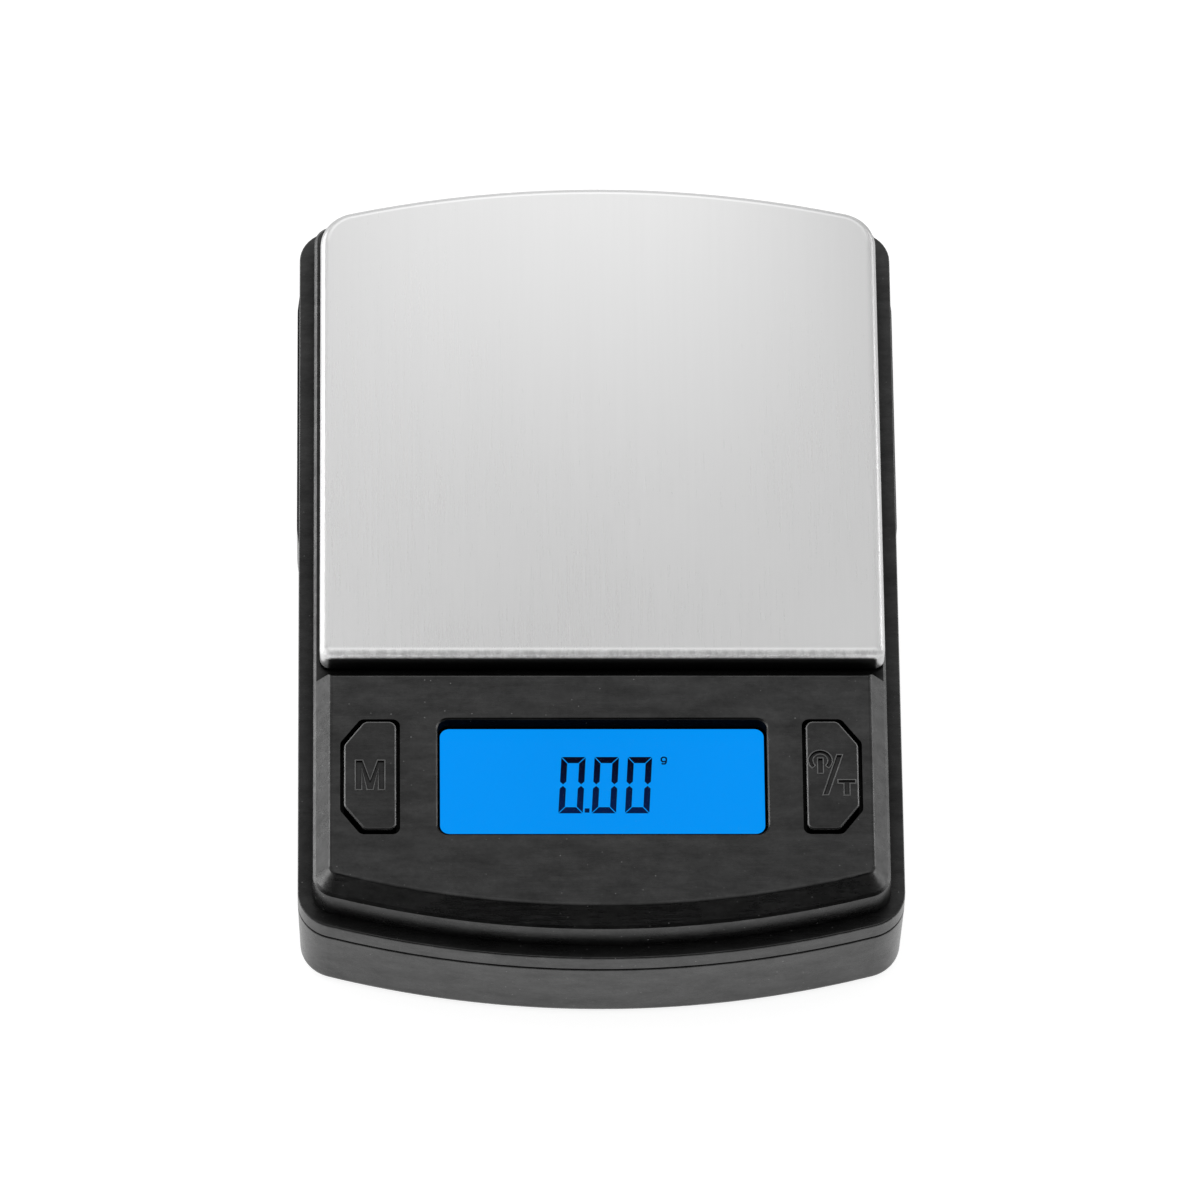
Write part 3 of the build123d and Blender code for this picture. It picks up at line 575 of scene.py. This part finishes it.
def stroke(path, width):
    """Closed outline of an open line of points, mitred at its bends."""
    left = []
    right = []
    for n, (x, y) in enumerate(path):
        before = Vector(path[n]) - Vector(path[max(n - 1, 0)])
        after = Vector(path[min(n + 1, len(path) - 1)]) - Vector(path[n])
        ahead = (before.normalized() + after.normalized()).normalized()
        lean = max(0.7, max(ahead.dot(before.normalized()), ahead.dot(after.normalized())))
        side = Vector((-ahead.y, ahead.x)) * (width / 2 / lean)
        left.append((x + side.x, y + side.y))
        right.append((x - side.x, y - side.y))
    return left + right[::-1]


def gram_sign():
    """Small g as one bent stroke in millimetres: a closed bowl, a stem and a short tail."""
    w = SIGN_WIDTH
    h = SIGN_HEIGHT
    points = [(0.78, 0.44), (0.55, 0.36), (0.25, 0.4), (0.06, 0.56), (0.06, 0.8), (0.25, 0.96)]
    points += [(0.6, 0.97), (0.86, 0.86), (0.92, 0.7), (0.9, 0.26), (0.72, 0.07)]
    points += [(0.34, 0.06), (0.16, 0.15)]
    return stroke([(x * w, y * h) for x, y in points], SIGN_STROKE)


def rounded_rectangle(middle, half_size, radius):
    """Outline of a rounded rectangle, anticlockwise; its half size and radius are in millimetres."""
    half_x, half_y = half_size
    steps = 10
    points = []
    for quarter in range(4):
        turn = quarter * math.pi / 2
        sx = 1 if quarter in (0, 3) else -1
        sy = 1 if quarter in (0, 1) else -1
        for n in range(steps + 1):
            a = turn + n / steps * math.pi / 2
            x = sx * (half_x - radius) + radius * math.cos(a)
            y = sy * (half_y - radius) + radius * math.sin(a)
            points.append((middle.x + x * MM, middle.y + y * MM))
    return points


def window_border(material, middle, level):
    """Black border printed under the window: its outer edge is hidden, its inner edge shows."""
    outer = rounded_rectangle(middle, BORDER_OUTER, BORDER_OUTER_RADIUS)
    inner_middle = middle + Vector((0.0, BORDER_INNER_BACK * MM, 0.0))
    inner = rounded_rectangle(inner_middle, BORDER_INNER, BORDER_INNER_RADIUS)
    work = bmesh.new()
    rings = []
    for outline in (outer, inner):
        for z in (level, level + FILM_THICKNESS * MM):
            rings.append([work.verts.new((x, y, z)) for x, y in outline])
    outer_low, outer_high, inner_low, inner_high = rings
    count = len(outer)
    for n in range(count):
        m = (n + 1) % count
        work.faces.new((outer_high[n], outer_high[m], inner_high[m], inner_high[n]))
        work.faces.new((inner_low[n], inner_low[m], outer_low[m], outer_low[n]))
        work.faces.new((outer_low[n], outer_low[m], outer_high[m], outer_high[n]))
        work.faces.new((inner_high[n], inner_high[m], inner_low[m], inner_low[n]))
    bmesh.ops.recalc_face_normals(work, faces=work.faces[:])
    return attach(object_from(work, "window_border", material), "casing")


def display_pieces():
    """Figures, point and gram sign on the glass, and the border printed on the window."""
    window_low, window_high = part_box("display_window")
    glass_low, glass_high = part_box("lcd_glass")
    middle = (window_low + window_high) / 2
    level = glass_high.z + FILM_LIFT * MM
    margin = 0.3 * MM
    foot = middle.y + FIGURE_BASE * MM
    ink = figure_ink("display_ink", foot - margin, foot + FIGURE_HEIGHT * MM + margin)
    lefts = [FIGURE_LEFT + FIGURE_PITCH * n for n in range(3)]
    for label, left in zip(("units", "tenths", "hundredths"), lefts):
        outlines = [slanted(s, left, FIGURE_BASE, middle) for s in figure_strokes()]
        film("figure_" + label, outlines, level, FILM_THICKNESS * MM, ink)
    side = POINT_SIDE
    point = [(0, 0), (side, 0), (side, side), (0, side)]
    point_left = lefts[0] + FIGURE_WIDTH + POINT_AFTER_FIGURE
    place = slanted(point, point_left, FIGURE_BASE + POINT_UP, middle)
    film("decimal_point", [place], level, FILM_THICKNESS * MM, ink)
    sign_base = FIGURE_BASE + FIGURE_HEIGHT - SIGN_HEIGHT
    sign = [slanted(gram_sign(), SIGN_LEFT, sign_base, middle)]
    film("gram_sign", sign, level, FILM_THICKNESS * MM, ink)
    border = moulded_plastic("border_ink", 0.002, 0.5, 0.4, 0.0, 0.0)
    window_border(border, middle, level + BORDER_LIFT * MM)


# ---------------------------------------------------------------- key legends


def legend_loops(node):
    """Outlines of the sunk legend in a key's top, read from the edges of its flat floor."""
    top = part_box(node.name)[1].z
    level = top - LEGEND_DEPTH * MM
    edges = []
    for face in node.data.polygons:
        points = [node.data.vertices[v].co for v in face.vertices]
        if all(abs(p.z - level) < 0.02 * MM for p in points):
            keys = [(round(p.x / MM, 4), round(p.y / MM, 4)) for p in points]
            edges += zip(keys, keys[1:] + keys[:1])
    following = {a: b for a, b in edges if (b, a) not in edges}
    loops = []
    while following:
        start, point = next(iter(following.items()))
        loop = [start]
        del following[start]
        while point != start:
            loop.append(point)
            point = following.pop(point)
        loops.append([Vector((x * MM, y * MM, top)) for x, y in loop])
    return loops


def bead(work, loop, radius, sides):
    """Closed round bead along a level loop, mitred at its corners."""
    rings = []
    count = len(loop)
    for n, point in enumerate(loop):
        before = (point - loop[n - 1]).normalized()
        after = (loop[(n + 1) % count] - point).normalized()
        across = Vector((-(before.y + after.y), before.x + after.x, 0.0)).normalized()
        lean = max(0.5, across.dot(Vector((-after.y, after.x, 0.0))))
        ring = []
        for k in range(sides):
            angle = math.tau * k / sides
            offset = across * (radius * math.cos(angle) / lean)
            ring.append(work.verts.new(point + offset + Vector((0, 0, radius * math.sin(angle)))))
        rings.append(ring)
    for n in range(count):
        here, there = rings[n], rings[(n + 1) % count]
        for k in range(sides):
            m = (k + 1) % sides
            work.faces.new((here[k], there[k], there[m], here[m]))


def legend_beads(nodes, material):
    """Fine raised line round each sunk legend, on the key it belongs to."""
    for key, body in (("mode_button", "mode_key"), ("power_tare_button", "power_key")):
        work = bmesh.new()
        for loop in legend_loops(nodes[key]):
            bead(work, loop, BEAD_RADIUS * MM, BEAD_SIDES)
        bmesh.ops.recalc_face_normals(work, faces=work.faces[:])
        for face in work.faces:
            face.smooth = True
        piece = object_from(work, key + "_legend", material)
        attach(piece, body)


# ---------------------------------------------------------------- studio


def studio_world():
    """White surroundings, black below the horizon.

    Soft boxes stand low at both sides and a strip low in front. Above the boxes it is dimmer,
    and a dark patch hangs behind the camera, which the black plastic mirrors.
    """
    world = bpy.data.worlds.new("studio")
    bpy.context.scene.world = world
    f = Finish("studio", world)
    direction = f.node("TexCoord").outputs["Generated"]
    x, y, z = f.node("SeparateXYZ", {0: direction}).outputs
    out = f.maths("ABSOLUTE", x)
    level = f.spread(z, 0.0, 0.3, 1.35, 0.95, True)
    raised = f.spread(z, 0.12, 0.35, 0.0, 1.0, True)
    halfway = f.maths("MULTIPLY", raised, f.spread(out, 0.25, 0.5, 0.0, 1.0, True))
    level = f.maths("MULTIPLY", level, f.spread(halfway, 0.0, 1.0, 1.0, MIDWAY_SHARE))
    ahead = f.spread(y, -0.5, -0.2, 1.0, 0.0, True)
    above = f.spread(z, 0.02, 0.16, 0.0, 1.0, True)
    below = f.spread(z, 0.84, 0.93, 1.0, 0.0, True)
    dark = f.maths("MULTIPLY", f.maths("MULTIPLY", above, below), ahead)
    open_share = f.spread(dark, 0.0, 1.0, 1.0, 0.02)
    sides = f.spread(out, 0.55, 0.8, 0.0, SIDE_LEVEL, True)
    low = f.spread(z, 0.06, 0.26, 1.0, 0.0, True)
    boxes = f.maths("MULTIPLY", sides, low)
    lifted = f.spread(z, 0.02, 0.1, 0.0, RIGHT_BOX, True)
    boxes = f.maths("MULTIPLY", boxes, f.spread(x, -0.1, 0.1, 1.0, lifted))
    strip = f.spread(y, -0.6, -0.85, 0.0, FRONT_LEVEL, True)
    strip = f.maths("MULTIPLY", strip, f.spread(z, 0.01, 0.09, 1.0, 0.0, True))
    boxes = f.maths("ADD", boxes, strip)
    strength = f.maths("MULTIPLY", f.maths("ADD", level, boxes), open_share)
    strength = f.maths("MULTIPLY", strength, f.spread(x, -0.5, 0.5, 1.06, 0.97))
    strength = f.maths("MULTIPLY", strength, f.spread(z, -0.02, 0.0, 0.0, WORLD_LEVEL))
    sky = f.node("Background", {"Color": (1.0, 1.0, 1.0, 1.0), "Strength": strength})
    f.tree.links.new(sky.outputs[0], f.output.inputs["Surface"])


def flat_sheet(name, across, along, height, material, face_down=False):
    """Gridded rectangular sheet of the studio, not part of the object."""
    left, right = across
    front, back = along
    work = bmesh.new()
    bmesh.ops.create_grid(work, x_segments=8, y_segments=8, size=0.5)
    if face_down:
        bmesh.ops.reverse_faces(work, faces=work.faces[:])
    size = Matrix.Diagonal((right - left, back - front, 1.0, 1.0))
    place = Matrix.Translation(((left + right) / 2, (front + back) / 2, height))
    work.transform(place @ size)
    sheet = object_from(work, name, material)
    return sheet


def card_glow(name):
    """Overhead card: dim over the middle, bright towards the back, a little brighter on the left."""
    f = Finish(name)
    x, y, _ = f.node("SeparateXYZ", {0: f.where()}).outputs
    along = f.spread(y, 0.0, 0.5, 0.0, 1.0)
    stops = [
        (0.0, grey(1.15)),
        (0.16, grey(0.95)),
        (0.36, grey(0.68)),
        (0.42, grey(0.65)),
        (0.48, grey(0.51)),
        (0.57, grey(0.75)),
        (0.66, grey(1.32)),
        (0.78, grey(1.6)),
    ]
    level = f.ramp(along, stops)
    ends = f.spread(f.maths("ABSOLUTE", x), 0.12, 0.35, 1.0, 0.55, True)
    strength = f.maths("MULTIPLY", f.spread(x, -0.15, 0.15, 1.03, 0.97), ends)
    glow = f.node("Emission", {"Color": level, "Strength": strength})
    f.tree.links.new(glow.outputs[0], f.output.inputs["Surface"])
    return f.owner


def studio():
    """Floor, overhead card that only reflections see, and a weak lamp for soft shadows."""
    studio_world()
    reach = FLOOR_REACH
    floor = flat_sheet("floor", (-reach, reach), (-reach, reach), 0.0, floor_paper("floor_paper"))
    floor.visible_shadow = False
    across = (-CARD_HALF_WIDTH, CARD_HALF_WIDTH)
    along = (CARD_FRONT, CARD_BACK)
    card = flat_sheet("overhead_card", across, along, CARD_HEIGHT, card_glow("card_glow"), True)
    card.visible_camera = False
    card.visible_diffuse = False
    card.visible_shadow = False
    lamp = bpy.data.lights.new("soft_key", "AREA")
    lamp.energy = KEY_LIGHT_POWER
    lamp.size = KEY_LIGHT_SIZE
    key = bpy.data.objects.new("soft_key", lamp)
    bpy.context.scene.collection.objects.link(key)
    key.location = KEY_LIGHT_PLACE
    key.rotation_euler = (-key.location).to_track_quat("-Z", "Y").to_euler()
    key.visible_glossy = False
    key.visible_camera = False


def camera():
    """Long lens, aimed by side, elevation and roll."""
    side, down, roll = VIEW_SIDE, VIEW_DOWN, VIEW_ROLL
    flat = math.cos(down)
    ahead = Vector((math.sin(side) * flat, math.cos(side) * flat, -math.sin(down)))
    level_right = ahead.cross(Vector((0, 0, 1))).normalized()
    level_up = level_right.cross(ahead)
    right = math.cos(roll) * level_right + math.sin(roll) * level_up
    up = math.cos(roll) * level_up - math.sin(roll) * level_right
    data = bpy.data.cameras.new("camera")
    data.lens = LENS
    data.sensor_width = SENSOR
    data.clip_end = 20.0
    made = bpy.data.objects.new("camera", data)
    bpy.context.scene.collection.objects.link(made)
    turn = Matrix((right, up, -ahead)).transposed().to_4x4()
    made.matrix_world = Matrix.Translation(VIEW_AIM - VIEW_DISTANCE * ahead) @ turn
    bpy.context.scene.camera = made


# ---------------------------------------------------------------- the whole


def dress(nodes, material, *names):
    """Gives CAD nodes a finish; their meshes stay as they are."""
    for name in names:
        nodes[name].data.materials.clear()
        nodes[name].data.materials.append(material)


def dress_all(nodes):
    """A finish for every CAD node, and the legends' beads on the keys."""
    shell = moulded_plastic("black_shell")
    dress(nodes, shell, "lower_casing", "upper_casing", "battery_door")
    key_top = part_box("mode_button")[1].z
    dress(nodes, key_plastic("black_key", key_top), "mode_button", "power_tare_button")
    # The beads' light grey is a painted highlight along the legends' rims.
    legend_beads(nodes, moulded_plastic("legend_highlight", 0.085, 0.35, 0.7, 0.0, 0.0))
    inner = moulded_plastic("inner_black", 0.008, 0.45, 1.5, 0.0, 0.3)
    dress(nodes, inner, "lcd_holder", "tray_carrier", "mode_switch_body", "power_switch_body")
    tray_low, tray_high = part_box("weighing_tray")
    dress(nodes, brushed_steel("brushed_tray", (tray_low + tray_high) / 2), "weighing_tray")
    dress(nodes, clear_window("clear_window"), "display_window")
    glass_low, glass_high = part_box("lcd_glass")
    dress(nodes, lit_display("lit_display", (glass_low + glass_high) / 2), "lcd_glass")
    dress(nodes, hard_plastic("light_guide", (0.75, 0.82, 0.9, 1.0), 0.25), "backlight_panel")
    dress(nodes, hard_plastic("lamp", (0.25, 0.5, 0.95, 1.0), 0.2), "backlight_leds")
    dress(nodes, striped_rubber("zebra"), "elastomer_connector")
    dress(nodes, circuit_green("solder_mask"), "circuit_board")
    chip = moulded_plastic("chip_black", 0.012, 0.5, 2.0, 0.0, 0.6)
    dress(nodes, chip, "controller_chip", "converter_chip")
    dress(nodes, plain_metal("can", (0.72, 0.72, 0.73, 1.0), 0.25), "crystal")
    dress(nodes, hard_plastic("capacitor", (0.42, 0.26, 0.12, 1.0), 0.5), "board_capacitors")
    plunger = hard_plastic("plunger", (0.72, 0.68, 0.58, 1.0))
    dress(nodes, plunger, "mode_switch_plunger", "power_switch_plunger")
    dress(nodes, foam_tape("foam_tape"), "tray_adhesive_pads")
    dress(nodes, plain_metal("machined_aluminium", (0.78, 0.79, 0.8, 1.0), 0.32, 2.0), "load_cell")
    dress(nodes, hard_plastic("gauge_sealant", (0.88, 0.87, 0.8, 1.0), 0.55), "strain_gauges")
    screws = plain_metal("screw_steel", (0.62, 0.62, 0.63, 1.0), 0.3)
    dress(nodes, screws, "circuit_board_screws", "carrier_screws", "load_cell_screws")
    dress(nodes, screws, "overload_stop_screw", "casing_screws")
    dress(nodes, leads_by_place("lead_colours", 1.3 * MM), "load_cell_leads")
    dress(nodes, hard_plastic("red_lead", (0.5, 0.015, 0.012, 1.0), 0.35), "battery_lead_positive")
    dress(nodes, hard_plastic("black_lead", (0.012, 0.012, 0.012, 1.0), 0.35), "battery_lead_negative")
    for name, plus_side in (("battery_front", -1), ("battery_rear", 1)):
        low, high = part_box(name)
        dress(nodes, cell_jacket("jacket_" + name, low.x, high.x, plus_side), name)
    nickel = plain_metal("nickel", (0.72, 0.7, 0.66, 1.0), 0.28)
    dress(nodes, nickel, "battery_springs", "battery_terminal_positive", "battery_terminal_negative")
    dress(nodes, nickel, "battery_link_plate")
    dress(nodes, soft_rubber("rubber"), "rubber_feet")


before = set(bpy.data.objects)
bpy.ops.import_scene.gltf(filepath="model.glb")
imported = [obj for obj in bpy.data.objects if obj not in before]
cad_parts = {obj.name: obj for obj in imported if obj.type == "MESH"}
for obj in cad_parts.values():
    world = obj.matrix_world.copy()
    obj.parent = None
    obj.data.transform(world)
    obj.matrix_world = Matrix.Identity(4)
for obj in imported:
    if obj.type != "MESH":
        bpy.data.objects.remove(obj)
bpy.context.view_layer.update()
dress_all(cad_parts)
display_pieces()
studio()
camera()
bpy.context.scene.view_settings.view_transform = "Standard"
